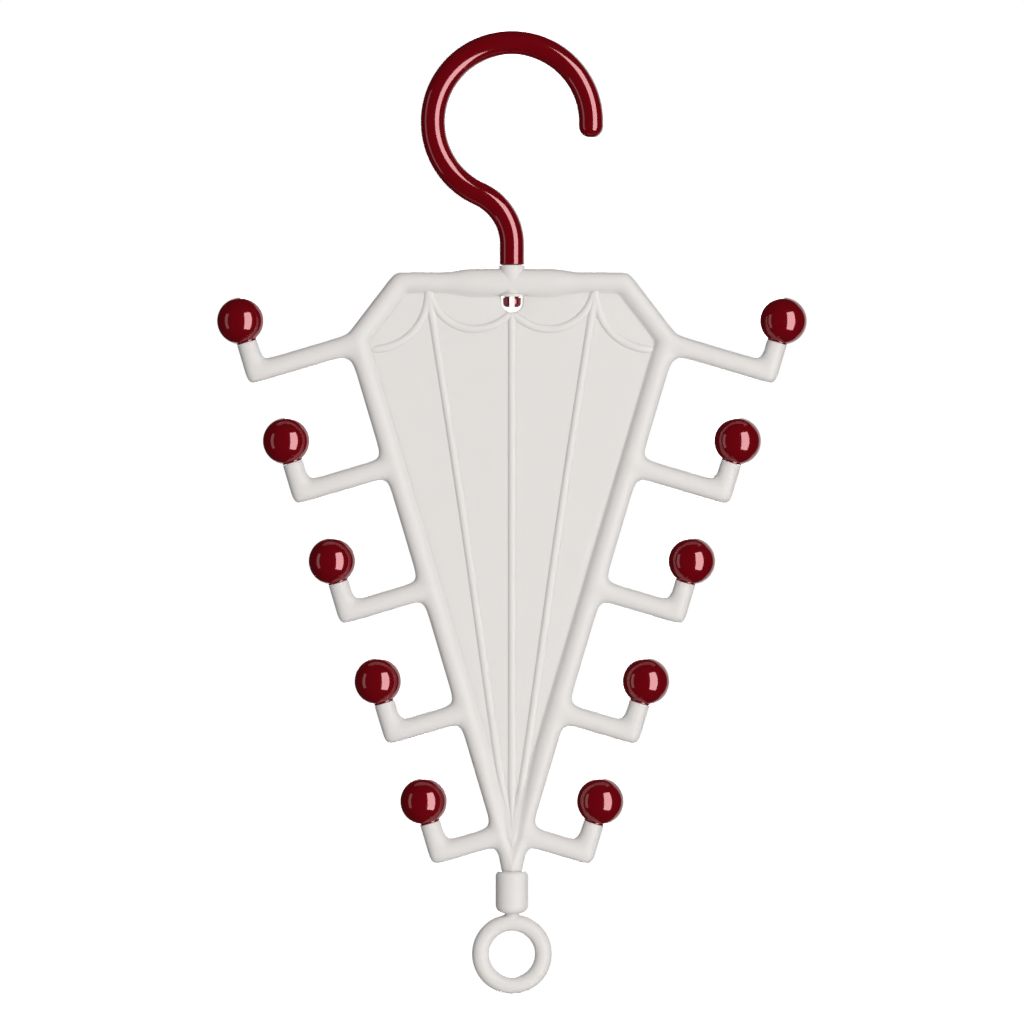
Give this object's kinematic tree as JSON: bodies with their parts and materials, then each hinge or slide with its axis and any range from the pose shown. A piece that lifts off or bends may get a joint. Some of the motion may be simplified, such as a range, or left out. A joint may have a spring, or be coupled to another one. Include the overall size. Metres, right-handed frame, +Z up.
{
  "type": "rotating clothes hanger",
  "caption": "Tapered moulded hanger with knobbed side arms, a swivelling hook at the top and a swivelling ring below.",
  "frame": {"origin": "the point inside the crown of the hook where a wardrobe rail bears, on the upright axis that the hook and the ring turn about", "axes": "+Z up, along the swivel axis; +X across the hanger towards its right-hand arms as the picture shows it; the front faces -Y"},
  "size_m": [0.2064, 0.016, 0.3371],
  "materials": {
    "white_plastic": "satin",
    "red_plastic": "gloss"
  },
  "bodies": {
    "hook": {"hook": "red_plastic"},
    "frame": {"frame": "white_plastic", "knob_left_1": "red_plastic", "knob_left_2": "red_plastic", "knob_left_3": "red_plastic", "knob_left_4": "red_plastic", "knob_left_5": "red_plastic", "knob_right_1": "red_plastic", "knob_right_2": "red_plastic", "knob_right_3": "red_plastic", "knob_right_4": "red_plastic", "knob_right_5": "red_plastic"},
    "ring": {"ring": "white_plastic"}
  },
  "joints": [
    {"name": "hook_swivel", "type": "hinge", "parent": "hook", "child": "frame", "pos_m": [0, 0, -0.07363], "axis": [0, 0, 1], "continuous": true},
    {"name": "ring_swivel", "type": "hinge", "parent": "frame", "child": "ring", "pos_m": [0, 0, -0.30038], "axis": [0, 0, 1], "continuous": true}
  ]
}
